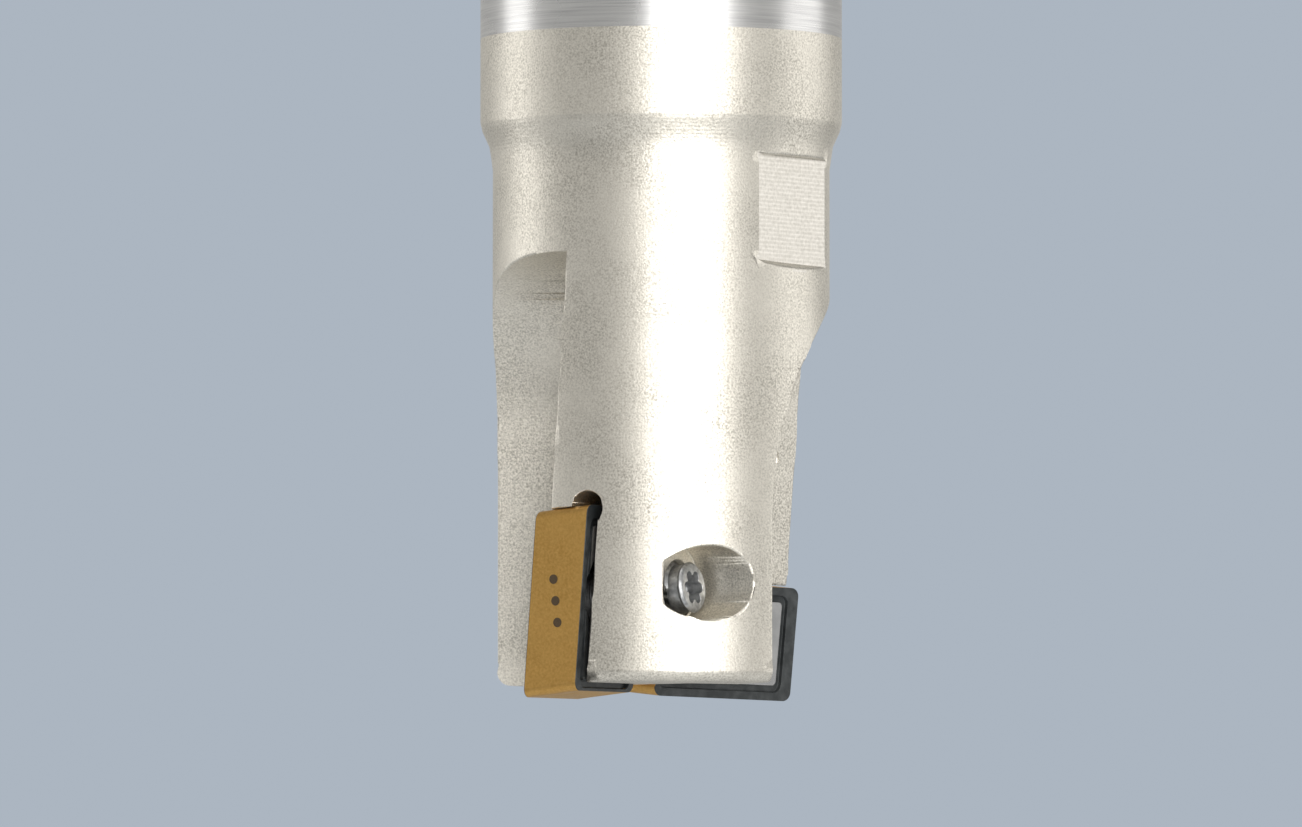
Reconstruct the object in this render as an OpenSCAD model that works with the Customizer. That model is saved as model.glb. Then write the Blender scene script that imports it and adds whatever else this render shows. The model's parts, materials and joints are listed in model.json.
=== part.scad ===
// Indexable shank milling cutter with two edge positions: one insert stands upright and
// cuts the side wall, the other lies flat across the middle and cuts the floor.
// Millimetres, +Z up along the tool axis. The origin is on the axis, in the plane of the
// lowest cutting edges, and -Y is the side that shows the upright insert's flank.

/* [Shank] */
// Diameter of the clamping shank
shank_d = 32; // [30:0.5:40]
// Length of the clamping shank
shank_l = 60; // [50:1:80]
// Chamfer on the end of the shank
shank_chamfer = 1; // [0.5:0.1:2]
// Depth of each clamping flat below the shank's surface
clamp_flat_depth = 2; // [1:0.1:2.5]
// Length of each clamping flat along the shank
clamp_flat_l = 14; // [8:0.5:16]
// Distance of the first clamping flat's middle from the shank's end
clamp_flat_first = 17; // [12:0.5:18]
// Distance from one clamping flat's middle to the next
clamp_flat_pitch = 19; // [18:0.5:22]

/* [Neck] */
// Diameter of the body below the shoulder
neck_d = 29.8; // [28:0.1:30]
// Height of the shoulder above the cutting plane
neck_l = 51; // [48:0.5:80]
// Height of the flare that joins the neck to the shoulder
flare_h = 4.2; // [3:0.1:4.5]
// Height of the body's end face above the cutting plane
end_gap = 1.3; // [0.8:0.1:1.6]
// Rounding of the body's lower rim
rim_r = 1.2; // [0.4:0.1:1.6]
// Size across the two spanner flats
spanner_af = 28; // [25:0.1:28.4]
// Width of each spanner flat along the axis
spanner_w = 9.4; // [6:0.1:9.6]
// Distance from the shoulder down to the spanner flats
spanner_drop = 3.5; // [3:0.1:5]

/* [Inserts] */
// Long side of an insert
insert_l = 16; // [14:0.1:17]
// Short side of an insert
insert_w = 10.1; // [9.6:0.1:11]
// Thickness of an insert along its screw
insert_t = 5.3; // [4.8:0.1:6]
// Radius of an insert's corners
corner_r = 0.8; // [0.4:0.1:1.2]
// Slope of the insert's two faces along its long side, in degrees
face_slope = 10.5; // [6:0.5:12]
// Tilt of both seats, which gives the end edges their clearance, in degrees
seat_tilt = 6; // [4:0.5:7]
// Width of the flat land along the cutting edges
edge_land = 0.75; // [0.4:0.05:1]
// Width of the chip groove behind the land
groove_w = 0.6; // [0.3:0.05:0.8]
// Depth of the chip groove
groove_depth = 0.4; // [0.2:0.05:0.5]
// Diameter that the upright insert cuts
cut_d = 32; // [31:0.1:33]
// Radius that the flat insert's outer corner reaches
centre_reach = 14; // [13.5:0.1:14.5]

/* [Insert screws] */
// Thread diameter of the screws
screw_d = 5; // [4:0.1:5.2]
// Length of a screw from the top of its head
screw_l = 13; // [12:0.1:13.5]
// Head diameter of the screws
head_d = 6.9; // [6.2:0.1:7]
// Depth of the head below the middle of the insert's face
head_sink = 0.75; // [0.4:0.05:1]
// Diameter of the relief hole that opens behind each screw
relief_d = 6.5; // [6:0.05:7.2]
// Depth of the thread in the body, from the seat to the relief hole
thread_l = 6.95; // [5:0.05:7.2]

/* [Chip flutes] */
// Drop of the upright insert's flute wall below the insert's face
outer_wall_drop = 1.2; // [0.6:0.1:1.6]
// Drop of the flat insert's flute wall below the insert's face
centre_wall_drop = 2.5; // [0.6:0.1:2.6]
// Run-out radius at the top of the upright insert's flute
outer_runout_r = 15; // [12:0.5:18]
// Height where that run-out starts
outer_runout_z = 24; // [20:0.5:25]
// Run-out radius at the top of the flat insert's flute
centre_runout_r = 24.5; // [22:0.5:28]
// Height where that run-out starts
centre_runout_z = 16.5; // [16:0.5:18]
// Distance from the axis to the floor of the flat insert's flute
centre_floor = 5.3; // [5:0.1:6.5]
// Width of the gullet in front of the flat insert
gullet_w = 5; // [4.2:0.1:5.5]

/* [Coolant] */
// Diameter of the coolant bore down the shank
coolant_d = 8; // [5:0.5:10]
// Diameter of each jet that branches off to a flute
jet_d = 2.4; // [1.5:0.1:2.8]

/* [Hidden] */

// Bearings in plan, in degrees, counted from the front (-Y) towards +X.
outer_corner_bearing = -49;
centre_corner_bearing = 125;
spanner_bearing = 55;
clamp_flat_bearing = 90;
outer_jet_bearing = -43;
centre_jet_bearing = 122;
// Directions in plan of the two screws' heads and of the two flute floors, from +X.
outer_screw_dir = 150;
centre_screw_dir = -37.5;
outer_floor_dir = 261.4;
centre_floor_dir = 20;
// The upright insert's flute goes a little past the axis.
outer_floor = -1.15;

cut_r = cut_d / 2;
neck_r = neck_d / 2;
shank_r = shank_d / 2;
overall_l = neck_l + shank_l;
flare_step = 0.8;
flare_edge = 0.2;
flare_root = 0.3;

// Clearances: sides of an insert in its pocket, shaft of a screw in its hole, cone under a head.
pocket_play = 0.05;
screw_play = 0.05;
cone_play = 0.05;
pad_sink = 0.12;
corner_relief_r = 1;
outer_relief_r = 1.5;
outer_relief_inset = 0.3;
centre_relief_r = 1;
centre_relief_inset = 0.5;
// Slot that frees the upright insert's outer edge from its seat.
lip_w = 1.8;
lip_depth = 0.9;
spanner_ledge = 25;
// The upright insert's relief hole is drilled level, a little above the screw's tail.
outer_relief_rise = 0.5;
bore_play = 0.25;
cone_angle = 30;
head_rim = 0.3;
tip_chamfer = 0.5;
star_lobes = 6;
star_core_r = 0.46 * screw_d / 2 + 0.3;
star_lobe_r = 0.09 * screw_d;
star_depth = 1.6;
tail_core_r = 0.75 * star_core_r;

rise = insert_l / 2 * tan(face_slope);
slab_t = insert_t * cos(face_slope);
outer_edge_corner = [insert_w / 2, -insert_l / 2, insert_t / 2 + rise];
centre_edge_corner = [-insert_w / 2, -insert_l / 2, insert_t / 2 + rise];
head_top = insert_t / 2 - head_sink;
head_r = head_d / 2;
screw_r = screw_d / 2;
bore_r = screw_r + bore_play;
head_seat_z = head_top - head_rim;
cone_mid_z = head_seat_z - (head_r + cone_play - bore_r) / tan(cone_angle);
bottom_z = head_top - screw_l;
relief_z = -insert_t / 2 - thread_l;

jet_start_z = 46;
outer_jet_z = 24;
centre_jet_z = 21;
jet_reach = 12.3;
reach = 60;

$fn = 96;

// Point in plan at radius r and bearing b.
function plan(r, b) = [r * sin(b), -r * cos(b), 0];

// Frame of the upright insert: X out through its long flank, Y up, Z along its screw.
module at_outer() {
    translate(plan(cut_r, outer_corner_bearing))
        rotate([90 + seat_tilt, 0, outer_screw_dir + 90])
            translate(-outer_edge_corner)
                children();
}

// Frame of the flat insert: X up, Y inwards along its long side, Z along its screw.
module at_centre() {
    translate(plan(centre_reach, centre_corner_bearing))
        rotate([90, 0, centre_screw_dir + 90])
            rotate([0, 0, 90])
                rotate([0, -seat_tilt, 0])
                    translate(-centre_edge_corner)
                        children();
}

// Turns a level plane into the plane of an insert's sloping face.
module sloped() {
    rotate([-face_slope, 0, 0])
        children();
}

module rounded_plate(w, l, r) {
    square([w - 2 * r, l], center = true);
    square([w, l - 2 * r], center = true);
    for (x = [-1, 1], y = [-1, 1])
        translate([x * (w / 2 - r), y * (l / 2 - r)])
            circle(r);
}

// Chip groove and sunken pad on one face of an insert.
module face_relief() {
    groove_in = edge_land + groove_w;
    long_l = insert_l / cos(face_slope);
    translate([0, 0, slab_t / 2 - groove_depth])
        linear_extrude(height = 2)
            difference() {
                rounded_plate(insert_w - 2 * edge_land, long_l - 2 * edge_land, corner_r);
                rounded_plate(insert_w - 2 * groove_in, long_l - 2 * groove_in, corner_r / 2);
            }
    translate([0, 0, slab_t / 2 - pad_sink])
        linear_extrude(height = 2)
            rounded_plate(insert_w - 2 * edge_land - groove_w, long_l - 2 * edge_land - groove_w, corner_r);
}

// Countersink for the screw's head on one face of an insert.
module countersink() {
    depth = insert_t;
    translate([0, 0, cone_mid_z])
        cylinder(h = depth, r1 = bore_r, r2 = bore_r + depth * tan(cone_angle));
}

module insert_solid() {
    difference() {
        intersection() {
            linear_extrude(height = 4 * insert_t, center = true)
                rounded_plate(insert_w, insert_l, corner_r);
            sloped()
                cube([4 * insert_w, 4 * insert_w, slab_t], center = true);
        }
        for (turn = [0, 180])
            rotate([turn, 0, 0]) {
                sloped()
                    face_relief();
                countersink();
            }
        cylinder(h = 4 * insert_t, r = bore_r, center = true);
    }
}

// Six-lobed key socket that opens upwards from its floor at height z.
module star_socket(z, core_r) {
    translate([0, 0, z])
        linear_extrude(height = star_depth + 1) {
            circle(core_r);
            for (k = [0 : star_lobes - 1])
                rotate(k * 360 / star_lobes)
                    translate([core_r, 0])
                        circle(star_lobe_r);
        }
}

module screw_solid() {
    cone_h = (head_r - screw_r) / tan(cone_angle);
    difference() {
        rotate_extrude()
            polygon([
                [0, bottom_z],
                [screw_r - tip_chamfer, bottom_z],
                [screw_r, bottom_z + tip_chamfer],
                [screw_r, head_seat_z - cone_h],
                [head_r, head_seat_z],
                [head_r, head_top - head_rim / 3],
                [head_r - head_rim / 3, head_top],
                [0, head_top]
            ]);
        star_socket(head_top - star_depth, star_core_r);
        star_socket(bottom_z - 1, tail_core_r);
    }
}

// Room for an insert from x_low upwards: its seat is the flat under it, with two stop walls.
module pocket(x_low) {
    intersection() {
        sloped()
            translate([-reach, -reach, -slab_t / 2])
                cube([2 * reach, 2 * reach, slab_t + 2]);
        translate([x_low, -reach, -reach])
            cube([insert_w + pocket_play + reach, reach + insert_l / 2 + pocket_play, 2 * reach]);
    }
}

// Rounded clearance along the pocket's stop walls, where a square corner can't be milled: one
// hole of radius r along the end wall, set in from its foot, and one up the corner.
module pocket_relief(x_wall, r, inset) {
    foot = -insert_t / 2 - rise;
    translate([0, insert_l / 2 - inset, foot + inset])
        rotate([0, 90, 0])
            cylinder(h = 2.6 * insert_w, r = r, center = true);
    translate([x_wall, insert_l / 2 - corner_relief_r / 3, foot + corner_relief_r / 5])
        cylinder(h = 2 * insert_t, r = corner_relief_r);
}

// Slot behind the outer edge of the upright insert's seat.
module seat_lip() {
    sloped()
        translate([insert_w / 2 - lip_w, -reach, -slab_t / 2 - lip_depth])
            cube([reach, reach + insert_l / 2, lip_depth + 1]);
}

// Threaded hole behind a seat.
module screw_hole() {
    translate([0, 0, relief_z - 0.5])
        cylinder(h = thread_l + insert_t / 2 + 0.5, r = screw_r + screw_play);
}

// Wider hole that opens behind a threaded hole, from its own flat end outwards.
module relief_hole() {
    translate([0, 0, -reach])
        cylinder(h = reach, d = relief_d);
}

// Everything outside a flute's floor, which curves out to the surface at its top.
module floor_side(dir, dist, runout_r, runout_z) {
    rotate([0, 0, dir])
        translate([dist, 0, 0])
            rotate([90, 0, 0])
                linear_extrude(height = 2 * reach, center = true) {
                    translate([0, -reach])
                        square([reach, reach + runout_z]);
                    translate([runout_r, runout_z])
                        circle(runout_r);
                    translate([runout_r, 0])
                        square([reach, runout_z + runout_r]);
                }
}

// Everything in front of a flute's wall, which is level with the insert's face less the drop.
module wall_side(drop) {
    sloped()
        translate([-reach, -reach, slab_t / 2 - drop])
            cube([2 * reach, 2 * reach, reach]);
}

module outer_flute() {
    intersection() {
        at_outer()
            wall_side(outer_wall_drop);
        floor_side(outer_floor_dir, outer_floor, outer_runout_r, outer_runout_z);
    }
}

module centre_flute() {
    intersection() {
        at_centre()
            wall_side(centre_wall_drop);
        floor_side(centre_floor_dir, centre_floor, centre_runout_r, centre_runout_z);
    }
}

// Chip room in front of the flat insert, cut in as far as its inner end.
module centre_gullet() {
    sloped()
        translate([-reach, -reach, 0])
            cube([reach + insert_w / 2 + 1, reach + insert_l / 2, slab_t / 2 + gullet_w]);
}

// Two spanner flats, each with a sloping ledge under it.
module spanner_flats() {
    for (turn = [0, 180])
        rotate([0, 0, spanner_bearing - 90 + turn])
            translate([spanner_af / 2, 0, neck_l - spanner_drop - spanner_w])
                rotate([90, 0, 0])
                    linear_extrude(height = reach, center = true)
                        polygon([
                            [0, 0],
                            [neck_r, -neck_r * tan(spanner_ledge)],
                            [neck_r, spanner_w],
                            [0, spanner_w]
                        ]);
}

module clamp_flats() {
    for (k = [0, 1])
        rotate([0, 0, clamp_flat_bearing])
            translate([
                -reach / 2,
                -reach - shank_r + clamp_flat_depth,
                overall_l - clamp_flat_first - k * clamp_flat_pitch - clamp_flat_l / 2
            ])
                cube([reach, reach, clamp_flat_l]);
}

// One jet from the coolant bore down to a flute's wall.
module jet(bearing, end_z) {
    drop = jet_start_z - end_z;
    run = jet_reach;
    translate([0, 0, jet_start_z])
        rotate([0, 0, bearing - 90])
            rotate([0, 90 + atan(drop / run), 0])
                cylinder(h = norm([run, drop]), d = jet_d);
}

module coolant_ways() {
    translate([0, 0, jet_start_z - 2])
        cylinder(h = overall_l, d = coolant_d);
    translate([0, 0, overall_l - 1])
        cylinder(h = 2, d1 = coolant_d, d2 = coolant_d + 4);
    jet(outer_jet_bearing, outer_jet_z);
    jet(centre_jet_bearing, centre_jet_z);
}

module turned_body() {
    rotate_extrude() {
        translate([0, end_gap])
            square([neck_r - rim_r, 2 * rim_r]);
        translate([neck_r - rim_r, end_gap + rim_r])
            circle(rim_r);
        polygon([
            [0, end_gap + rim_r],
            [neck_r, end_gap + rim_r],
            [neck_r, neck_l - flare_h],
            [neck_r + flare_root, neck_l - flare_h / 2],
            [shank_r - flare_edge, neck_l - flare_step],
            [shank_r, neck_l],
            [shank_r, overall_l - shank_chamfer],
            [shank_r - shank_chamfer, overall_l],
            [0, overall_l]
        ]);
    }
}

module cutter_body() {
    color("silver")
        difference() {
            turned_body();
            outer_flute();
            centre_flute();
            at_outer() {
                pocket(-insert_w / 2 - pocket_play);
                pocket_relief(-insert_w / 2, outer_relief_r, outer_relief_inset);
                seat_lip();
                screw_hole();
                translate([0, outer_relief_rise, relief_z])
                    rotate([-seat_tilt, 0, 0])
                        relief_hole();
            }
            at_centre() {
                pocket(-insert_w / 2 - reach);
                pocket_relief(insert_w / 2, centre_relief_r, centre_relief_inset);
                screw_hole();
                translate([0, 0, relief_z])
                    relief_hole();
                centre_gullet();
            }
            spanner_flats();
            clamp_flats();
            coolant_ways();
        }
}

module outer_insert() {
    color("goldenrod")
        at_outer()
            insert_solid();
}

module centre_insert() {
    color("goldenrod")
        at_centre()
            insert_solid();
}

module outer_insert_screw() {
    color("dimgray")
        at_outer()
            screw_solid();
}

module centre_insert_screw() {
    color("dimgray")
        at_centre()
            screw_solid();
}

cutter_body();
outer_insert();
centre_insert();
outer_insert_screw();
centre_insert_screw();
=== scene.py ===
"""Indexable shank milling cutter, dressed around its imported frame.

The cutter hangs by its shank over a pale floor, with its upright insert to the left and the
flat insert under the body to the right. Everything is in metres, in the frame's own axes:
+Z runs up the tool axis from the plane of the cutting edges, and -Y faces the camera.
"""

import json
import logging
import math
from collections.abc import Callable, Iterable
from dataclasses import dataclass, field
from enum import Enum

import bmesh
import bpy
from mathutils import Matrix, Vector

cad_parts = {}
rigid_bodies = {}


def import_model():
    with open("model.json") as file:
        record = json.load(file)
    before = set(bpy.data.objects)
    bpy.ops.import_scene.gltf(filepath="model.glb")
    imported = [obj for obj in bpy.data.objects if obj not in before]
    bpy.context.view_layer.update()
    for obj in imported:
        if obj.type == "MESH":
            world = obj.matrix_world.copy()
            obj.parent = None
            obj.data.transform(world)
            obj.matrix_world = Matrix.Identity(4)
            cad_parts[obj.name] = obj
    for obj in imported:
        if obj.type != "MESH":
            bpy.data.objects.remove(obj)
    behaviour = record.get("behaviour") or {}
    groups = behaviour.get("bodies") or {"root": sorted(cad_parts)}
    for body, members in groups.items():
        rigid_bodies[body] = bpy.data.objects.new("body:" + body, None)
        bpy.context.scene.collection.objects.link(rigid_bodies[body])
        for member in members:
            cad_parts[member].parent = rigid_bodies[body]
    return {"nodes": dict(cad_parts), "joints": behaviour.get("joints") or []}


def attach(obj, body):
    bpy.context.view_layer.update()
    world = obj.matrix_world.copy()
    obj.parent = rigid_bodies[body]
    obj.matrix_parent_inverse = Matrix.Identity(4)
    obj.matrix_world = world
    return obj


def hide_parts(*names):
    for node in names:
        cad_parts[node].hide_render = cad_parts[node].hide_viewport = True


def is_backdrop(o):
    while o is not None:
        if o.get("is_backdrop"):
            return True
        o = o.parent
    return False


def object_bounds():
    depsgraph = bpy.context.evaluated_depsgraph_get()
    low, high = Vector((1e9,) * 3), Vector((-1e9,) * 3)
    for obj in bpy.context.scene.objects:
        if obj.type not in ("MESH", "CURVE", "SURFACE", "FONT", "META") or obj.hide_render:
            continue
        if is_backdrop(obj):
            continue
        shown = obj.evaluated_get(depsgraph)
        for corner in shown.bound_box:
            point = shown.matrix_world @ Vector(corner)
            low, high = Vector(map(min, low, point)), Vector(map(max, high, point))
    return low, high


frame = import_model()

LOG = logging.getLogger("cutter")
MM = 0.001
WELD = 0.03 * MM
COLLAPSE = 0.001 * MM
FLAT_LIMIT = math.radians(0.4)
CREASE_LIMIT = math.radians(38)
ROUND_STEPS = 2
AREA_WEIGHT = 100
WAVE_TURN = 20
LINE_DETAIL = 3.0
THREAD_STEPS = 40
THREAD_FLANK = 0.43
PIP_SIDES = 32
Colour = tuple[float, float, float]
Span = tuple[float, float]
Test = Callable[[list[Vector], Vector], bool]


class Axis(Enum):
    """An axis that a finish's fine lines are stacked along."""

    X = 0
    Y = 1
    Z = 2


class Seat(Enum):
    """The two insert positions, by the start of their node and joint names."""

    OUTER = "outer"
    CENTRE = "centre"


@dataclass(frozen=True)
class Grain:
    """A noise pattern in a finish: its size and depth in metres, and how it is read.

    detail counts its finer layers. span is the part of its range that is stretched to 0..1.
    stretch is its share of the scale along each axis, where a small one draws the grain out.
    """

    size: float
    detail: float
    span: Span = (0.0, 1.0)
    stretch: Colour = (1, 1, 1)
    depth: float = 0.0


@dataclass(frozen=True)
class Lines:
    """Fine parallel lines in a finish, as a cutting tool leaves.

    pitch is the distance from one to the next and depth their height, in metres. waver says
    how much they wander, and axis which way they are stacked.
    """

    pitch: float
    waver: float
    depth: float
    axis: Axis = Axis.Z


# ---------------------------------------------------------------------------------------
# Node helpers
# ---------------------------------------------------------------------------------------


class Sheet:
    """A material's node tree, with short calls to add and join its nodes."""

    def __init__(self, name: str) -> None:
        """Starts a material that holds a Principled shader and an output.

        Args:
            name: The material's name.
        """
        self.material = bpy.data.materials.new(name)
        self.material.use_nodes = True
        self.tree = self.material.node_tree
        self.tree.nodes.clear()
        self.out = self.add("ShaderNodeOutputMaterial")
        self.shader = self.add("ShaderNodeBsdfPrincipled")
        self.join(self.shader.outputs["BSDF"], self.out.inputs["Surface"])
        self.coords = self.add("ShaderNodeTexCoord").outputs["Object"]

    def add(self, kind: str, **values: object) -> bpy.types.Node:
        """Adds a node.

        Args:
            kind: The node's type name.
            **values: Properties to set on it.

        Returns:
            The new node.
        """
        node = self.tree.nodes.new(kind)
        for key, value in values.items():
            setattr(node, key, value)
        return node

    def join(self, source: bpy.types.NodeSocket, target: bpy.types.NodeSocket) -> None:
        """Links an output to an input."""
        self.tree.links.new(source, target)

    def noise(self, grain: Grain) -> bpy.types.NodeSocket:
        """Adds a noise pattern in object space.

        Args:
            grain: The pattern.

        Returns:
            The pattern's value, from 0 to 1.
        """
        place = self.add("ShaderNodeMapping")
        place.inputs["Scale"].default_value = grain.stretch
        self.join(self.coords, place.inputs["Vector"])
        pattern = self.add("ShaderNodeTexNoise")
        pattern.inputs["Scale"].default_value = 1 / grain.size
        pattern.inputs["Detail"].default_value = grain.detail
        self.join(place.outputs["Vector"], pattern.inputs["Vector"])
        return pattern.outputs["Fac"]

    def lines(self, lines: Lines) -> bpy.types.NodeSocket:
        """Adds fine parallel lines.

        Args:
            lines: The lines.

        Returns:
            The pattern's value, from 0 to 1.
        """
        wave = self.add("ShaderNodeTexWave", wave_type="BANDS", bands_direction=lines.axis.name)
        wave.inputs["Scale"].default_value = 2 * math.pi / (WAVE_TURN * lines.pitch)
        wave.inputs["Distortion"].default_value = lines.waver
        wave.inputs["Detail"].default_value = LINE_DETAIL
        self.join(self.coords, wave.inputs["Vector"])
        return wave.outputs["Fac"]

    def ramp(self, value: bpy.types.NodeSocket, span: Span) -> bpy.types.NodeSocket:
        """Stretches part of a value's range to 0..1, and clamps it.

        Args:
            value: The value to stretch.
            span: What becomes 0 and what becomes 1.

        Returns:
            The stretched value.
        """
        ends = self.add("ShaderNodeMapRange")
        ends.inputs["From Min"].default_value, ends.inputs["From Max"].default_value = span
        self.join(value, ends.inputs["Value"])
        return ends.outputs["Result"]

    def between(self, value: bpy.types.NodeSocket, span: Span) -> bpy.types.NodeSocket:
        """Maps a value of 0..1 to another range.

        Args:
            value: The value to map.
            span: The results at 0 and at 1.

        Returns:
            The mapped value.
        """
        ends = self.add("ShaderNodeMapRange")
        ends.inputs["To Min"].default_value, ends.inputs["To Max"].default_value = span
        self.join(value, ends.inputs["Value"])
        return ends.outputs["Result"]

    def mix(self, factor: bpy.types.NodeSocket, first: object, second: object) -> bpy.types.NodeSocket:
        """Mixes two colours.

        Args:
            factor: 0 gives the first colour, 1 the second.
            first: A colour or a colour socket.
            second: A colour or a colour socket.

        Returns:
            The mixed colour.
        """
        blend = self.add("ShaderNodeMix", data_type="RGBA")
        self.join(factor, blend.inputs["Factor"])
        colours = [socket for socket in blend.inputs if socket.type == "RGBA"]
        for socket, value in zip(colours, (first, second), strict=True):
            if isinstance(value, bpy.types.NodeSocket):
                self.join(value, socket)
            else:
                socket.default_value = (*value, 1)
        return next(socket for socket in blend.outputs if socket.type == "RGBA")

    def relief(self, *layers: tuple[bpy.types.NodeSocket, float]) -> None:
        """Adds bumps to the surface, one on top of the other.

        Args:
            *layers: Each a height pattern and its depth in metres.
        """
        below = None
        for height, depth in layers:
            bump = self.add("ShaderNodeBump")
            bump.inputs["Distance"].default_value = depth
            self.join(height, bump.inputs["Height"])
            if below:
                self.join(below, bump.inputs["Normal"])
            below = bump.outputs["Normal"]
        self.join(below, self.shader.inputs["Normal"])

    def surface(self, colour: bpy.types.NodeSocket, roughness: bpy.types.NodeSocket, metal: float) -> None:
        """Feeds the shader.

        Args:
            colour: The base colour.
            roughness: The roughness.
            metal: How metallic it is.
        """
        self.join(colour, self.shader.inputs["Base Color"])
        self.join(roughness, self.shader.inputs["Roughness"])
        self.shader.inputs["Metallic"].default_value = metal


# ---------------------------------------------------------------------------------------
# Finishes
# ---------------------------------------------------------------------------------------


@dataclass(frozen=True)
class BlastedNickel:
    """Nickel plating over a bead-blasted body, with faint turning rings under it."""

    light: Colour = (0.86, 0.825, 0.75)
    dark: Colour = (0.38, 0.36, 0.318)
    grain: Grain = Grain(0.17 * MM, 2.5, (0.28, 0.64), depth=0.018 * MM)
    cloud: Grain = Grain(7 * MM, 3.0, (0.35, 0.9))
    rings: Lines = Lines(0.32 * MM, 1.2, 0.004 * MM)
    rough: Span = (0.50, 0.38)
    metal: float = 1.0

    def build(self) -> bpy.types.Material:
        """Makes the material.

        Returns:
            The material.
        """
        sheet = Sheet("blasted_nickel")
        grain = sheet.noise(self.grain)
        cloud = sheet.noise(self.cloud)
        speckle = sheet.ramp(grain, self.grain.span)
        body = sheet.mix(speckle, self.dark, self.light)
        toned = sheet.mix(sheet.ramp(cloud, self.cloud.span), body, self.light)
        sheet.surface(toned, sheet.between(speckle, self.rough), self.metal)
        sheet.relief((sheet.lines(self.rings), self.rings.depth), (grain, self.grain.depth))
        return sheet.material


@dataclass(frozen=True)
class MilledFlat:
    """A flat left as milled, with lines across the tool and the plating over them."""

    light: Colour = (0.83, 0.80, 0.75)
    dark: Colour = (0.66, 0.635, 0.585)
    lines: Lines = Lines(0.36 * MM, 0.8, 0.014 * MM)
    grain: Grain = Grain(0.3 * MM, 2.0, (0.3, 0.7), depth=0.012 * MM)
    rough: Span = (0.36, 0.48)
    metal: float = 1.0

    def build(self) -> bpy.types.Material:
        """Makes the material.

        Returns:
            The material.
        """
        sheet = Sheet("milled_flat")
        lines = sheet.lines(self.lines)
        grain = sheet.noise(self.grain)
        colour = sheet.mix(sheet.ramp(grain, self.grain.span), self.dark, self.light)
        sheet.surface(colour, sheet.between(lines, self.rough), self.metal)
        sheet.relief((lines, self.lines.depth), (grain, self.grain.depth))
        return sheet.material


@dataclass(frozen=True)
class GroundShank:
    """Bright ground steel with rings that run round the shank."""

    light: Colour = (0.74, 0.74, 0.74)
    dark: Colour = (0.55, 0.55, 0.56)
    rings: Grain = Grain(0.12 * MM, 3.0, (0.25, 0.7), (0.02, 0.02, 1.0), 0.006 * MM)
    rub: Grain = Grain(9 * MM, 4.0, (0.3, 0.8))
    rough: Span = (0.22, 0.34)
    metal: float = 1.0

    def build(self) -> bpy.types.Material:
        """Makes the material.

        Returns:
            The material.
        """
        sheet = Sheet("ground_shank")
        rings = sheet.noise(self.rings)
        rub = sheet.noise(self.rub)
        colour = sheet.mix(sheet.ramp(rings, self.rings.span), self.dark, self.light)
        sheet.surface(colour, sheet.between(sheet.ramp(rub, self.rub.span), self.rough), self.metal)
        sheet.relief((rings, self.rings.depth))
        return sheet.material


@dataclass(frozen=True)
class GoldCoating:
    """The bronze-gold coating on an insert's flanks, with faint grinding lines."""

    light: Colour = (0.66, 0.40, 0.125)
    dark: Colour = (0.50, 0.285, 0.075)
    grain: Grain = Grain(0.22 * MM, 3.0, (0.3, 0.75), depth=0.012 * MM)
    drift: Grain = Grain(5 * MM, 2.0, (0.35, 1.1))
    scuff: Grain = Grain(0.5 * MM, 4.0, (0.3, 0.75), (0.3, 0.3, 1.6), 0.006 * MM)
    rough: Span = (0.36, 0.50)
    metal: float = 0.9

    def build(self) -> bpy.types.Material:
        """Makes the material.

        Returns:
            The material.
        """
        sheet = Sheet("gold_coating")
        grain = sheet.noise(self.grain)
        drift = sheet.noise(self.drift)
        scuff = sheet.noise(self.scuff)
        colour = sheet.mix(sheet.ramp(grain, self.grain.span), self.dark, self.light)
        toned = sheet.mix(sheet.ramp(drift, self.drift.span), colour, self.light)
        sheet.surface(toned, sheet.between(sheet.ramp(scuff, self.scuff.span), self.rough), self.metal)
        sheet.relief((scuff, self.scuff.depth), (grain, self.grain.depth))
        return sheet.material


@dataclass(frozen=True)
class DarkCarbide:
    """The dark top and bottom faces of an insert: lands and chip grooves."""

    light: Colour = (0.085, 0.092, 0.095)
    dark: Colour = (0.030, 0.034, 0.036)
    grain: Grain = Grain(0.12 * MM, 3.0, depth=0.01 * MM)
    worn: Grain = Grain(1.1 * MM, 5.0, (0.4, 0.85), depth=0.008 * MM)
    rough: Span = (0.36, 0.52)
    metal: float = 0.2
    gloss: float = 0.35

    def build(self) -> bpy.types.Material:
        """Makes the material.

        Returns:
            The material.
        """
        sheet = Sheet("dark_carbide")
        grain = sheet.noise(self.grain)
        worn = sheet.noise(self.worn)
        colour = sheet.mix(sheet.ramp(worn, self.worn.span), self.dark, self.light)
        sheet.surface(colour, sheet.between(grain, self.rough), self.metal)
        sheet.shader.inputs["Specular IOR Level"].default_value = self.gloss
        sheet.relief((worn, self.worn.depth), (grain, self.grain.depth))
        return sheet.material


@dataclass(frozen=True)
class GroundCarbide:
    """The paler ground pad in the middle of an insert's faces."""

    light: Colour = (0.44, 0.44, 0.445)
    dark: Colour = (0.29, 0.295, 0.30)
    scratch: Grain = Grain(0.10 * MM, 3.0, stretch=(0.06, 0.06, 1.0), depth=0.008 * MM)
    cloud: Grain = Grain(1.6 * MM, 4.0, (0.3, 0.8))
    rough: Span = (0.32, 0.46)
    metal: float = 0.85

    def build(self) -> bpy.types.Material:
        """Makes the material.

        Returns:
            The material.
        """
        sheet = Sheet("ground_carbide")
        scratch = sheet.noise(self.scratch)
        cloud = sheet.noise(self.cloud)
        colour = sheet.mix(sheet.ramp(cloud, self.cloud.span), self.dark, self.light)
        sheet.surface(colour, sheet.between(scratch, self.rough), self.metal)
        sheet.relief((scratch, self.scratch.depth))
        return sheet.material


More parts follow.
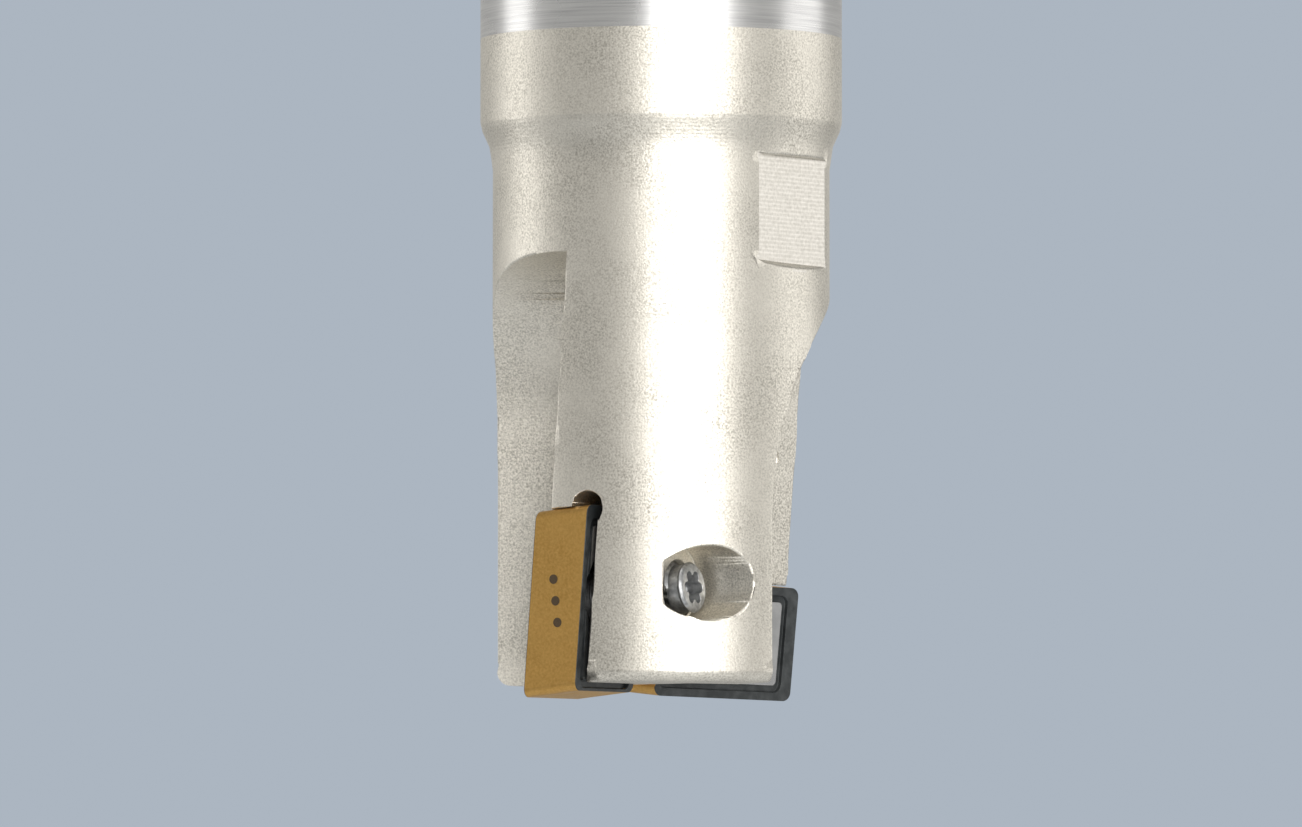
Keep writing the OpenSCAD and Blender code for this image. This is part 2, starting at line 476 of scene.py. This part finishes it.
@dataclass(frozen=True)
class ZincSteel:
    """Dull zinc on the screws, bright where the key and the thread have rubbed."""

    light: Colour = (0.56, 0.57, 0.58)
    dark: Colour = (0.27, 0.275, 0.28)
    crumb: Grain = Grain(0.5 * MM, 5.0, (0.34, 0.70), depth=0.02 * MM)
    fine: Grain = Grain(0.1 * MM, 2.0, depth=0.008 * MM)
    rough: Span = (0.46, 0.28)
    metal: float = 0.95

    def build(self) -> bpy.types.Material:
        """Makes the material.

        Returns:
            The material.
        """
        sheet = Sheet("zinc_steel")
        crumb = sheet.noise(self.crumb)
        fine = sheet.noise(self.fine)
        colour = sheet.mix(sheet.ramp(crumb, self.crumb.span), self.dark, self.light)
        sheet.surface(colour, sheet.between(crumb, self.rough), self.metal)
        sheet.relief((crumb, self.crumb.depth), (fine, self.fine.depth))
        return sheet.material


@dataclass(frozen=True)
class LaserMark:
    """The brown-black of a mark burned into the coating."""

    light: Colour = (0.10, 0.065, 0.03)
    dark: Colour = (0.035, 0.022, 0.012)
    burn: Grain = Grain(0.15 * MM, 3.0, depth=0.01 * MM)
    rough: Span = (0.5, 0.75)
    metal: float = 0.2

    def build(self) -> bpy.types.Material:
        """Makes the material.

        Returns:
            The material.
        """
        sheet = Sheet("laser_mark")
        burn = sheet.noise(self.burn)
        sheet.surface(sheet.mix(burn, self.dark, self.light), sheet.between(burn, self.rough), self.metal)
        sheet.relief((burn, self.burn.depth))
        return sheet.material


@dataclass(frozen=True)
class PaleFloor:
    """The studio floor's matt paint."""

    light: Colour = (0.86, 0.88, 0.90)
    dark: Colour = (0.82, 0.84, 0.86)
    cloud: Grain = Grain(80 * MM, 2.0)
    rough: Span = (0.6, 0.7)
    metal: float = 0.0

    def build(self) -> bpy.types.Material:
        """Makes the material.

        Returns:
            The material.
        """
        sheet = Sheet("pale_floor")
        cloud = sheet.noise(self.cloud)
        sheet.surface(sheet.mix(cloud, self.dark, self.light), sheet.between(cloud, self.rough), self.metal)
        return sheet.material


@dataclass
class Finishes:
    """Every material of the scene, made once."""

    nickel: bpy.types.Material = field(default_factory=lambda: BlastedNickel().build())
    milled: bpy.types.Material = field(default_factory=lambda: MilledFlat().build())
    ground: bpy.types.Material = field(default_factory=lambda: GroundShank().build())
    gold: bpy.types.Material = field(default_factory=lambda: GoldCoating().build())
    carbide: bpy.types.Material = field(default_factory=lambda: DarkCarbide().build())
    pad: bpy.types.Material = field(default_factory=lambda: GroundCarbide().build())
    zinc: bpy.types.Material = field(default_factory=lambda: ZincSteel().build())
    mark: bpy.types.Material = field(default_factory=lambda: LaserMark().build())
    floor: bpy.types.Material = field(default_factory=lambda: PaleFloor().build())


# ---------------------------------------------------------------------------------------
# Mesh helpers
# ---------------------------------------------------------------------------------------


def new_object(name: str, mesh: bpy.types.Mesh) -> bpy.types.Object:
    """Puts a mesh in the scene as an object at the origin.

    Args:
        name: The object's name.
        mesh: Its mesh.

    Returns:
        The object.
    """
    obj = bpy.data.objects.new(name, mesh)
    bpy.context.scene.collection.objects.link(obj)
    return obj


def welded_copy(node: str, name: str) -> bpy.types.Object:
    """Copies a CAD node's mesh with its points merged and its flat faces made whole.

    Args:
        node: The CAD node to copy.
        name: The new object's name.

    Returns:
        The new object.
    """
    mesh = frame["nodes"][node].data.copy()
    mesh.materials.clear()
    shape = bmesh.new()
    shape.from_mesh(mesh)
    bmesh.ops.remove_doubles(shape, verts=shape.verts, dist=WELD)
    bmesh.ops.dissolve_degenerate(shape, edges=shape.edges, dist=COLLAPSE)
    bmesh.ops.dissolve_limit(
        shape,
        angle_limit=FLAT_LIMIT,
        verts=shape.verts,
        edges=shape.edges,
        use_dissolve_boundaries=False,
    )
    bmesh.ops.recalc_face_normals(shape, faces=shape.faces)
    shape.to_mesh(mesh)
    shape.free()
    return new_object(name, mesh)


def applied(obj: bpy.types.Object) -> bpy.types.Object:
    """Turns an object's modifiers into plain mesh.

    Args:
        obj: The object to settle.

    Returns:
        The same object, with no modifiers.
    """
    depsgraph = bpy.context.evaluated_depsgraph_get()
    mesh = bpy.data.meshes.new_from_object(obj.evaluated_get(depsgraph), depsgraph=depsgraph)
    obj.modifiers.clear()
    obj.data = mesh
    return obj


def without_slivers(
    obj: bpy.types.Object, slack: float = 0.002 * MM, small: float = 0.5 * MM**2
) -> bpy.types.Object:
    """Takes out collapsed faces, and pairs of faces that lie back to back on the same points.

    Args:
        obj: The object to clean.
        slack: Shorter edges and thinner faces collapse, in metres.
        small: Faces under this area, in square metres, are split first, since a small one may be folded.

    Returns:
        The same object.
    """
    shape = bmesh.new()
    shape.from_mesh(obj.data)
    bmesh.ops.dissolve_degenerate(shape, edges=shape.edges, dist=slack)
    folded = [face for face in shape.faces if len(face.verts) > 3 and face.calc_area() < small]
    bmesh.ops.triangulate(shape, faces=folded)
    bmesh.ops.dissolve_degenerate(shape, edges=shape.edges, dist=slack)
    twins: dict[frozenset, list] = {}
    for face in shape.faces:
        twins.setdefault(frozenset(face.verts), []).append(face)
    doubled = [face for same in twins.values() if len(same) > 1 for face in same]
    bmesh.ops.delete(shape, geom=doubled, context="FACES")
    shape.to_mesh(obj.data)
    shape.free()
    return obj


def eased(
    obj: bpy.types.Object, width: float, shoulder: float = math.inf, sharp: float = 28.0, slight: float = 9.0
) -> bpy.types.Object:
    """Breaks an object's sharp edges with a small round and smooths its curved faces.

    Args:
        obj: The object to ease.
        width: Width of the round, in metres.
        shoulder: Above this height, edges that turn only slightly are broken too.
        sharp: Edges that turn by more than this many degrees are broken.
        slight: The same limit above the shoulder.

    Returns:
        The same object.
    """
    shape = bmesh.new()
    shape.from_mesh(obj.data)
    weight = shape.edges.layers.float.new("bevel_weight_edge")
    for edge in shape.edges:
        turn = math.degrees(edge.calc_face_angle(0))
        high = min(point.co.z for point in edge.verts) > shoulder
        room = min(near.calc_length() for point in edge.verts for near in point.link_edges)
        edge[weight] = float(room > width and (turn > sharp or (high and turn > slight)))
    shape.to_mesh(obj.data)
    shape.free()
    bevel = obj.modifiers.new("edge_break", "BEVEL")
    bevel.width = width
    bevel.segments = ROUND_STEPS
    bevel.limit_method = "WEIGHT"
    bevel.use_clamp_overlap = False
    bevel.miter_outer = "MITER_ARC"
    without_slivers(applied(obj))
    obj.data.shade_smooth()
    obj.data.set_sharp_from_angle(angle=CREASE_LIMIT)
    even = obj.modifiers.new("even_shading", "WEIGHTED_NORMAL")
    even.weight = AREA_WEIGHT
    even.keep_sharp = True
    return applied(obj)


def true_round(
    obj: bpy.types.Object, radii: Iterable[float], slack: float = 0.08 * MM, facing: float = 0.97
) -> None:
    """Shades the turned faces round Z as true cylinders, whatever their facets.

    Args:
        obj: The object to shade.
        radii: The cylinders' radii.
        slack: How far a point may lie off its cylinder.
        facing: How squarely a face has to look outward, as a cosine.
    """
    mesh = obj.data
    normals = [Vector(corner.vector) for corner in mesh.corner_normals]
    outward = [Vector((point.co.x, point.co.y, 0)) for point in mesh.vertices]
    sizes = [way.length for way in outward]
    for face in mesh.polygons:
        turned = any(all(abs(sizes[v] - radius) < slack for v in face.vertices) for radius in radii)
        if turned and face.normal.dot(outward[face.vertices[0]].normalized()) > facing:
            for loop in face.loop_indices:
                normals[loop] = outward[mesh.loops[loop].vertex_index].normalized()
    mesh.normals_split_custom_set(normals)


def slotted(obj: bpy.types.Object, materials: Iterable[bpy.types.Material], tests: Iterable[Test]) -> None:
    """Gives each face the material of the first test that it passes, or else the first material.

    Args:
        obj: The object to dress.
        materials: The default material, then one for each test.
        tests: Each takes a face's corner points and its normal.
    """
    obj.data.materials.clear()
    for material in materials:
        obj.data.materials.append(material)
    rules = list(tests)
    for face in obj.data.polygons:
        points = [obj.data.vertices[v].co for v in face.vertices]
        found = (k + 1 for k, test in enumerate(rules) if test(points, face.normal))
        face.material_index = next(found, 0)


def cut_level(
    obj: bpy.types.Object, height: float, radius: float, slack: float = 0.05 * MM, lean: float = 0.01
) -> None:
    """Scores a ring of points round a cylinder of an object, so that faces end at a height.

    Args:
        obj: The object to score.
        height: Where the ring goes.
        radius: The cylinder's radius; nothing else is scored.
        slack: How far a point may lie off the cylinder.
        lean: How far a face may lean from upright, as a sine.
    """
    shape = bmesh.new()
    shape.from_mesh(obj.data)
    faces = [
        face
        for face in shape.faces
        if abs(face.normal.z) < lean and all(abs(point.co.xy.length - radius) < slack for point in face.verts)
    ]
    edges = {edge for face in faces for edge in face.edges}
    points = {point for face in faces for point in face.verts}
    bmesh.ops.bisect_plane(
        shape, geom=[*points, *edges, *faces], plane_co=(0, 0, height), plane_no=(0, 0, 1)
    )
    shape.to_mesh(obj.data)
    shape.free()


def joined(name: str, parts: list[bpy.types.Object]) -> bpy.types.Object:
    """Joins several objects at the origin into one.

    Args:
        name: The joined object's name.
        parts: The objects, which are used up.

    Returns:
        The joined object, with the parts' materials.
    """
    shape = bmesh.new()
    materials: list[bpy.types.Material] = []
    for part in parts:
        first = len(shape.faces)
        shape.from_mesh(part.data)
        shape.faces.ensure_lookup_table()
        for face in shape.faces[first:]:
            material = part.data.materials[face.material_index]
            if material not in materials:
                materials.append(material)
            face.material_index = materials.index(material)
    mesh = bpy.data.meshes.new(name)
    shape.to_mesh(mesh)
    shape.free()
    for material in materials:
        mesh.materials.append(material)
    mesh.shade_smooth()
    mesh.set_sharp_from_angle(angle=CREASE_LIMIT)
    for part in parts:
        bpy.data.objects.remove(part)
    return new_object(name, mesh)


# ---------------------------------------------------------------------------------------
# Geometry Nodes
# ---------------------------------------------------------------------------------------


class GeometryTree:
    """A Geometry Nodes tree with named inputs, that ends in Realize Instances and Set Material."""

    def __init__(self, name: str, inputs: dict[str, str], material: bpy.types.Material) -> None:
        """Starts the tree.

        Args:
            name: The tree's name.
            inputs: Each input's name and socket type.
            material: What the result is made of.
        """
        self.tree = bpy.data.node_groups.new(name, "GeometryNodeTree")
        self.sockets = {
            label: self.tree.interface.new_socket(label, in_out="INPUT", socket_type=kind)
            for label, kind in inputs.items()
        }
        self.tree.interface.new_socket("Geometry", in_out="OUTPUT", socket_type="NodeSocketGeometry")
        self.given = self.add("NodeGroupInput")
        self.material = material

    def add(self, kind: str, **values: object) -> bpy.types.Node:
        """Adds a node.

        Args:
            kind: The node's type name.
            **values: Properties to set on it.

        Returns:
            The new node.
        """
        node = self.tree.nodes.new(kind)
        for key, value in values.items():
            setattr(node, key, value)
        return node

    def join(self, source: bpy.types.NodeSocket, target: bpy.types.NodeSocket) -> None:
        """Links an output to an input."""
        self.tree.links.new(source, target)

    def maths(self, operation: str, first: object, second: object) -> bpy.types.NodeSocket:
        """Works out something from two values.

        Args:
            operation: The Math node's operation.
            first: A socket or a number.
            second: A socket or a number.

        Returns:
            The result.
        """
        node = self.add("ShaderNodeMath", operation=operation)
        for socket, value in zip(node.inputs, (first, second), strict=False):
            if isinstance(value, bpy.types.NodeSocket):
                self.join(value, socket)
            else:
                socket.default_value = value
        return node.outputs[0]

    def end(self, geometry: bpy.types.NodeSocket) -> None:
        """Closes the tree on a geometry.

        Args:
            geometry: What the tree gives, before its instances are made real and painted.
        """
        real = self.add("GeometryNodeRealizeInstances")
        paint = self.add("GeometryNodeSetMaterial")
        paint.inputs["Material"].default_value = self.material
        out = self.add("NodeGroupOutput")
        self.join(geometry, real.inputs["Geometry"])
        self.join(real.outputs["Geometry"], paint.inputs["Geometry"])
        self.join(paint.outputs["Geometry"], out.inputs["Geometry"])

    def made(self, name: str, values: dict[str, float], place: Matrix) -> bpy.types.Object:
        """Runs the tree and keeps its result as a plain mesh.

        Args:
            name: The new object's name.
            values: A value for each named input.
            place: Where the result goes.

        Returns:
            The new object, at the origin.
        """
        obj = new_object(name, bpy.data.meshes.new(name))
        modifier = obj.modifiers.new("made", "NODES")
        modifier.node_group = self.tree
        for label, value in values.items():
            modifier[self.sockets[label].identifier] = value
        applied(obj)
        obj.data.transform(place)
        if place.determinant() < 0:
            obj.data.flip_normals()
        return obj


def thread_tree(material: bpy.types.Material) -> GeometryTree:
    """Builds the tree of a screw thread: one ridge that climbs round an axis.

    Args:
        material: What the thread is made of.

    Returns:
        The tree, with inputs Turns, Pitch, Crest and Depth.
    """
    inputs = dict.fromkeys(("Turns", "Pitch", "Crest", "Depth"), "NodeSocketFloat")
    tree = GeometryTree("screw_thread", inputs, material)
    given = tree.given.outputs
    spiral = tree.add("GeometryNodeCurveSpiral")
    spiral.inputs["Resolution"].default_value = THREAD_STEPS
    spiral.inputs["Reverse"].default_value = True
    middle = tree.maths("SUBTRACT", given["Crest"], tree.maths("DIVIDE", given["Depth"], 2))
    tree.join(given["Turns"], spiral.inputs["Rotations"])
    tree.join(middle, spiral.inputs["Start Radius"])
    tree.join(middle, spiral.inputs["End Radius"])
    tree.join(tree.maths("MULTIPLY", given["Turns"], given["Pitch"]), spiral.inputs["Height"])
    upright = tree.add("GeometryNodeSetCurveNormal")
    upright.mode = "Z_UP"
    tree.join(spiral.outputs["Curve"], upright.inputs["Curve"])
    ridge = tree.add("GeometryNodeCurvePrimitiveQuadrilateral", mode="KITE")
    flank = tree.maths("MULTIPLY", given["Pitch"], THREAD_FLANK)
    tree.join(given["Depth"], ridge.inputs["Width"])
    tree.join(flank, ridge.inputs["Bottom Height"])
    tree.join(flank, ridge.inputs["Top Height"])
    sweep = tree.add("GeometryNodeCurveToMesh")
    sweep.inputs["Fill Caps"].default_value = True
    tree.join(upright.outputs["Curve"], sweep.inputs["Curve"])
    tree.join(ridge.outputs["Curve"], sweep.inputs["Profile Curve"])
    tree.end(sweep.outputs["Mesh"])
    return tree


def pip_tree(material: bpy.types.Material) -> GeometryTree:
    """Builds the tree of a row of round marks.

    Args:
        material: What the marks are made of.

    Returns:
        The tree, with inputs Count, Pitch, Radius and Height.
    """
    inputs = {"Count": "NodeSocketInt"} | dict.fromkeys(("Pitch", "Radius", "Height"), "NodeSocketFloat")
    tree = GeometryTree("index_pips", inputs, material)
    given = tree.given.outputs
    line = tree.add("GeometryNodeMeshLine")
    step = tree.add("ShaderNodeCombineXYZ")
    tree.join(given["Pitch"], step.inputs["Y"])
    tree.join(given["Count"], line.inputs["Count"])
    tree.join(step.outputs["Vector"], line.inputs["Offset"])
    pip = tree.add("GeometryNodeMeshCylinder")
    pip.inputs["Vertices"].default_value = PIP_SIDES
    tree.join(given["Radius"], pip.inputs["Radius"])
    tree.join(given["Height"], pip.inputs["Depth"])
    copies = tree.add("GeometryNodeInstanceOnPoints")
    tree.join(line.outputs["Mesh"], copies.inputs["Points"])
    tree.join(pip.outputs["Mesh"], copies.inputs["Instance"])
    tree.end(copies.outputs["Instances"])
    return tree


# ---------------------------------------------------------------------------------------
# The cutter
# ---------------------------------------------------------------------------------------


def joint(name: str) -> dict:
    """The frame's joint of that name."""
    return next(j for j in frame["joints"] if j["name"] == name)


def seat_place(seat: Seat) -> Matrix:
    """Finds an insert's own frame from its joints.

    Args:
        seat: Which insert.

    Returns:
        The matrix from the insert's frame to the row frame: its origin is the insert's
        middle, Z runs along the screw, and Y along the insert's long side.
    """
    out = Vector(joint(f"{seat.value}_insert_lift")["axis"]).normalized()
    middle = Vector(joint(f"{seat.value}_screw_turn")["pos_m"])
    up = Vector((0, 0, 1))
    up = (up - out * up.dot(out)).normalized()
    along = up if seat is Seat.OUTER else out.cross(up)
    across = along.cross(out)
    turn = Matrix((across, along, out)).transposed()
    return Matrix.Translation(middle) @ turn.to_4x4()


@dataclass
class CutterBody:
    """The turned and milled body, with its shank."""

    finishes: Finishes
    plating_top: float = 58.4 * MM
    edge_round: float = 0.18 * MM
    neck_radius: float = 14.9 * MM
    shank_radius: float = 16 * MM
    shoulder: float = 50.9 * MM
    ring_count: int = 30
    spanner_bearing: float = 55.0
    spanner_low: float = 37 * MM
    spanner_high: float = 48 * MM
    spanner_facing: float = 0.999
    scored_slack: float = 0.01 * MM

    def build(self) -> bpy.types.Object:
        """Makes the body from its CAD node, with eased edges and the plating's upper limit scored in.

        Returns:
            The finished piece.
        """
        body = welded_copy("cutter_body", "cutter_body_skin")
        cut_level(body, self.plating_top, self.shank_radius)
        for step in range(1, self.ring_count):
            cut_level(body, self.shoulder * step / self.ring_count, self.neck_radius)
        eased(body, self.edge_round, self.shoulder)
        true_round(body, (self.neck_radius, self.shank_radius))
        self.dress(body)
        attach(body, "cutter_body")
        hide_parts("cutter_body")
        LOG.info("body: %d faces", len(body.data.polygons))
        return body

    def dress(self, body: bpy.types.Object) -> None:
        """Gives the neck its plating, the spanner flats their lines and the shank its grinding.

        Args:
            body: The body.
        """
        bearing = math.radians(self.spanner_bearing)
        flat = Vector((math.sin(bearing), -math.cos(bearing), 0))

        def on_shank(points: list[Vector], normal: Vector) -> bool:
            """Is the face above the plating's limit?"""
            return all(point.z > self.plating_top - self.scored_slack for point in points)

        def on_flat(points: list[Vector], normal: Vector) -> bool:
            """Is the face one of the two spanner flats?"""
            level = all(self.spanner_low < point.z < self.spanner_high for point in points)
            return level and abs(normal.dot(flat)) > self.spanner_facing

        materials = (self.finishes.nickel, self.finishes.ground, self.finishes.milled)
        slotted(body, materials, (on_shank, on_flat))


@dataclass
class Insert:
    """One double-sided carbide insert."""

    seat: Seat
    finishes: Finishes
    long_side: float = 16 * MM
    short_side: float = 10.1 * MM
    flank_depth: float = 0.4 * MM
    flank_slope: float = 0.35
    pad_margin: float = 1.3 * MM
    pad_facing: float = 0.95
    edge_round: float = 0.07 * MM
    pip_count: int = 3
    pip_pitch: float = 1.9 * MM
    pip_radius: float = 0.42 * MM
    pip_height: float = 0.03 * MM

    def build(self) -> bpy.types.Object:
        """Makes the insert from its CAD node, with honed edges and index pips on its flank.

        Returns:
            The finished piece.
        """
        node = f"{self.seat.value}_insert"
        place = seat_place(self.seat)
        blank = eased(welded_copy(node, f"{node}_blank"), self.edge_round)
        self.dress(blank, place)
        piece = joined(f"{node}_coated", [blank, self.pips(place)])
        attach(piece, node)
        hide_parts(node)
        LOG.info("%s insert: %d faces", self.seat.value, len(piece.data.polygons))
        return piece

    def dress(self, blank: bpy.types.Object, place: Matrix) -> None:
        """Coats the flanks gold, and leaves the faces dark round a paler pad.

        Args:
            blank: The insert.
            place: The insert's own frame.
        """
        home = place.inverted()
        turn = home.to_3x3()
        half_w, half_l = self.short_side / 2, self.long_side / 2

        def on_flank(points: list[Vector], normal: Vector) -> bool:
            """Is the face part of the insert's outer wall?"""
            spots = [home @ point for point in points]
            rim = all(
                abs(at.x) > half_w - self.flank_depth or abs(at.y) > half_l - self.flank_depth
                for at in spots
            )
            return rim and abs((turn @ normal).z) < self.flank_slope

        def on_pad(points: list[Vector], normal: Vector) -> bool:
            """Is the face part of the ground pad round the screw?"""
            spots = [home @ point for point in points]
            inside = all(
                abs(at.x) < half_w - self.pad_margin and abs(at.y) < half_l - self.pad_margin
                for at in spots
            )
            return inside and abs((turn @ normal).z) > self.pad_facing

        slotted(blank, (self.finishes.carbide, self.finishes.gold, self.finishes.pad), (on_flank, on_pad))

    def pips(self, place: Matrix) -> bpy.types.Object:
        """Makes the row of index pips on the outer long flank.

        Args:
            place: The insert's own frame.

        Returns:
            The pips, at the origin.
        """
        values = {
            "Count": self.pip_count,
            "Pitch": self.pip_pitch,
            "Radius": self.pip_radius,
            "Height": self.pip_height,
        }
        start = Vector((self.short_side / 2, -self.pip_pitch * (self.pip_count - 1) / 2, 0))
        flank = Matrix.Translation(start) @ Matrix.Rotation(math.radians(90), 4, "Y")
        return pip_tree(self.finishes.mark).made(f"{self.seat.value}_pips", values, place @ flank)


@dataclass
class InsertScrew:
    """One countersunk screw with a cut thread."""

    seat: Seat
    finishes: Finishes
    crest: float = 2.5 * MM
    depth: float = 0.42 * MM
    pitch: float = 0.8 * MM
    thread_low: float = -9.75 * MM
    thread_high: float = -0.3 * MM
    shaft_slack: float = 0.02 * MM
    edge_round: float = 0.06 * MM

    def build(self) -> bpy.types.Object:
        """Makes the screw: head and core from the CAD node, and a thread round the core.

        Returns:
            The finished piece.
        """
        node = f"{self.seat.value}_insert_screw"
        place = seat_place(self.seat)
        core = welded_copy(node, f"{node}_core")
        self.thin(core, place)
        eased(core, self.edge_round)
        slotted(core, (self.finishes.zinc,), ())
        piece = joined(f"{node}_turned", [core, self.thread(place)])
        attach(piece, node)
        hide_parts(node)
        LOG.info("%s screw: %d faces", self.seat.value, len(piece.data.polygons))
        return piece

    def thin(self, core: bpy.types.Object, place: Matrix) -> None:
        """Draws the shaft in to the thread's root.

        Args:
            core: The screw.
            place: The insert's own frame, whose Z is the screw's axis.
        """
        home = place.inverted()
        root = (self.crest - self.depth) / self.crest
        for point in core.data.vertices:
            at = home @ point.co
            if abs(math.hypot(at.x, at.y) - self.crest) < self.shaft_slack:
                point.co = place @ Vector((at.x * root, at.y * root, at.z))

    def thread(self, place: Matrix) -> bpy.types.Object:
        """Makes the thread's ridge.

        Args:
            place: The insert's own frame.

        Returns:
            The thread, at the origin.
        """
        low = self.thread_low + self.pitch / 2
        values = {
            "Turns": (self.thread_high - low) / self.pitch,
            "Pitch": self.pitch,
            "Crest": self.crest,
            "Depth": 2 * self.depth,
        }
        return thread_tree(self.finishes.zinc).made(
            f"{self.seat.value}_thread", values, place @ Matrix.Translation((0, 0, low))
        )


# ---------------------------------------------------------------------------------------
# Studio
# ---------------------------------------------------------------------------------------


@dataclass(frozen=True)
class Softbox:
    """One soft light, placed round the cutter."""

    name: str
    bearing: float
    height: float
    distance: float
    width: float
    tall: float
    power: float
    colour: Colour = (1.0, 0.985, 0.96)

    def build(self, aim: Vector) -> bpy.types.Object:
        """Hangs the light and turns it to a point.

        Args:
            aim: The point that it faces.

        Returns:
            The light.
        """
        data = bpy.data.lights.new(self.name, "AREA")
        data.shape = "RECTANGLE"
        data.size, data.size_y = self.width, self.tall
        data.energy = self.power
        data.color = self.colour
        light = bpy.data.objects.new(self.name, data)
        bpy.context.scene.collection.objects.link(light)
        angle = math.radians(self.bearing)
        away = Vector((math.sin(angle), -math.cos(angle), 0)) * self.distance
        light.location = aim + away + Vector((0, 0, self.height))
        light.rotation_euler = (aim - light.location).to_track_quat("-Z", "Y").to_euler()
        return light


@dataclass
class Studio:
    """Floor, air, lights and camera."""

    finishes: Finishes
    floor_drop: float = 0.62
    floor_size: float = 9.0
    air: Colour = (0.412, 0.466, 0.533)
    glow: Colour = (0.52, 0.515, 0.495)
    ceiling: float = 0.40
    ceiling_from: float = 0.85
    view_width: float = 115.1 * MM
    view_distance: float = 1.0
    view_elevation: float = -2.6
    sensor: float = 36.0
    near: float = 0.05
    far: float = 50.0
    aim: tuple[float, float, float] = (-0.9 * MM, 0.0, 25.3 * MM)
    lights: tuple[Softbox, ...] = (
        Softbox("key_light", bearing=18, height=0.04, distance=0.9, width=0.72, tall=1.0, power=7.6),
        Softbox("left_light", bearing=-104, height=0.08, distance=1.0, width=0.45, tall=1.0, power=1.7),
        Softbox("right_light", bearing=103, height=0.06, distance=1.0, width=0.7, tall=1.0, power=1.9),
        Softbox("top_light", bearing=0, height=1.5, distance=0.2, width=1.2, tall=1.2, power=9.0),
    )

    def build(self) -> None:
        """Sets up the whole studio."""
        self.floor()
        self.world()
        for light in self.lights:
            light.build(Vector(self.aim))
        self.camera()
        bpy.context.scene.view_settings.view_transform = "Standard"
        LOG.info("studio: %d lights", len(self.lights))

    def floor(self) -> None:
        """Lays the floor under the hanging cutter."""
        half = self.floor_size / 2
        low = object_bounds()[0].z - self.floor_drop
        mesh = bpy.data.meshes.new("floor")
        corners = [(-half, -half, low), (half, -half, low), (half, half, low), (-half, half, low)]
        mesh.from_pydata(corners, [], [(0, 1, 2, 3)])
        mesh.materials.append(self.finishes.floor)
        new_object("floor", mesh)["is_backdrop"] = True

    def world(self) -> None:
        """Fills the air with plain soft light, dimmer overhead, before a plain cool backdrop."""
        world = bpy.data.worlds.new("air")
        bpy.context.scene.world = world
        world.use_nodes = True
        nodes, links = world.node_tree.nodes, world.node_tree.links
        nodes.clear()
        seen = nodes.new("ShaderNodeBackground")
        seen.inputs["Color"].default_value = (*self.air, 1)
        lit = nodes.new("ShaderNodeBackground")
        lit.inputs["Color"].default_value = (*self.glow, 1)
        split = nodes.new("ShaderNodeSeparateXYZ")
        links.new(nodes.new("ShaderNodeTexCoord").outputs["Generated"], split.inputs["Vector"])
        fade = nodes.new("ShaderNodeMapRange")
        fade.inputs["From Max"].default_value = self.ceiling_from
        fade.inputs["To Min"].default_value = 1
        fade.inputs["To Max"].default_value = self.ceiling
        links.new(split.outputs["Z"], fade.inputs["Value"])
        links.new(fade.outputs["Result"], lit.inputs["Strength"])
        which = nodes.new("ShaderNodeLightPath")
        blend = nodes.new("ShaderNodeMixShader")
        out = nodes.new("ShaderNodeOutputWorld")
        links.new(which.outputs["Is Camera Ray"], blend.inputs["Fac"])
        links.new(lit.outputs["Background"], blend.inputs[1])
        links.new(seen.outputs["Background"], blend.inputs[2])
        links.new(blend.outputs["Shader"], out.inputs["Surface"])

    def camera(self) -> None:
        """Sets the camera level with the cutter's end, looking slightly up."""
        data = bpy.data.cameras.new("camera")
        data.sensor_width = self.sensor
        data.lens = data.sensor_width * self.view_distance / self.view_width
        data.clip_start, data.clip_end = self.near, self.far
        camera = bpy.data.objects.new("camera", data)
        bpy.context.scene.collection.objects.link(camera)
        tilt = math.radians(self.view_elevation)
        back = Vector((0, -math.cos(tilt), math.sin(tilt)))
        camera.location = Vector(self.aim) + back * self.view_distance
        camera.rotation_euler = (-back).to_track_quat("-Z", "Y").to_euler()
        bpy.context.scene.camera = camera


def main() -> None:
    """Builds the cutter, then the studio."""
    logging.basicConfig(level=logging.INFO, format="%(name)s: %(message)s")
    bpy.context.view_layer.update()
    finishes = Finishes()
    CutterBody(finishes).build()
    for seat in Seat:
        Insert(seat, finishes).build()
        InsertScrew(seat, finishes).build()
    Studio(finishes).build()


if __name__ == "__main__":
    main()
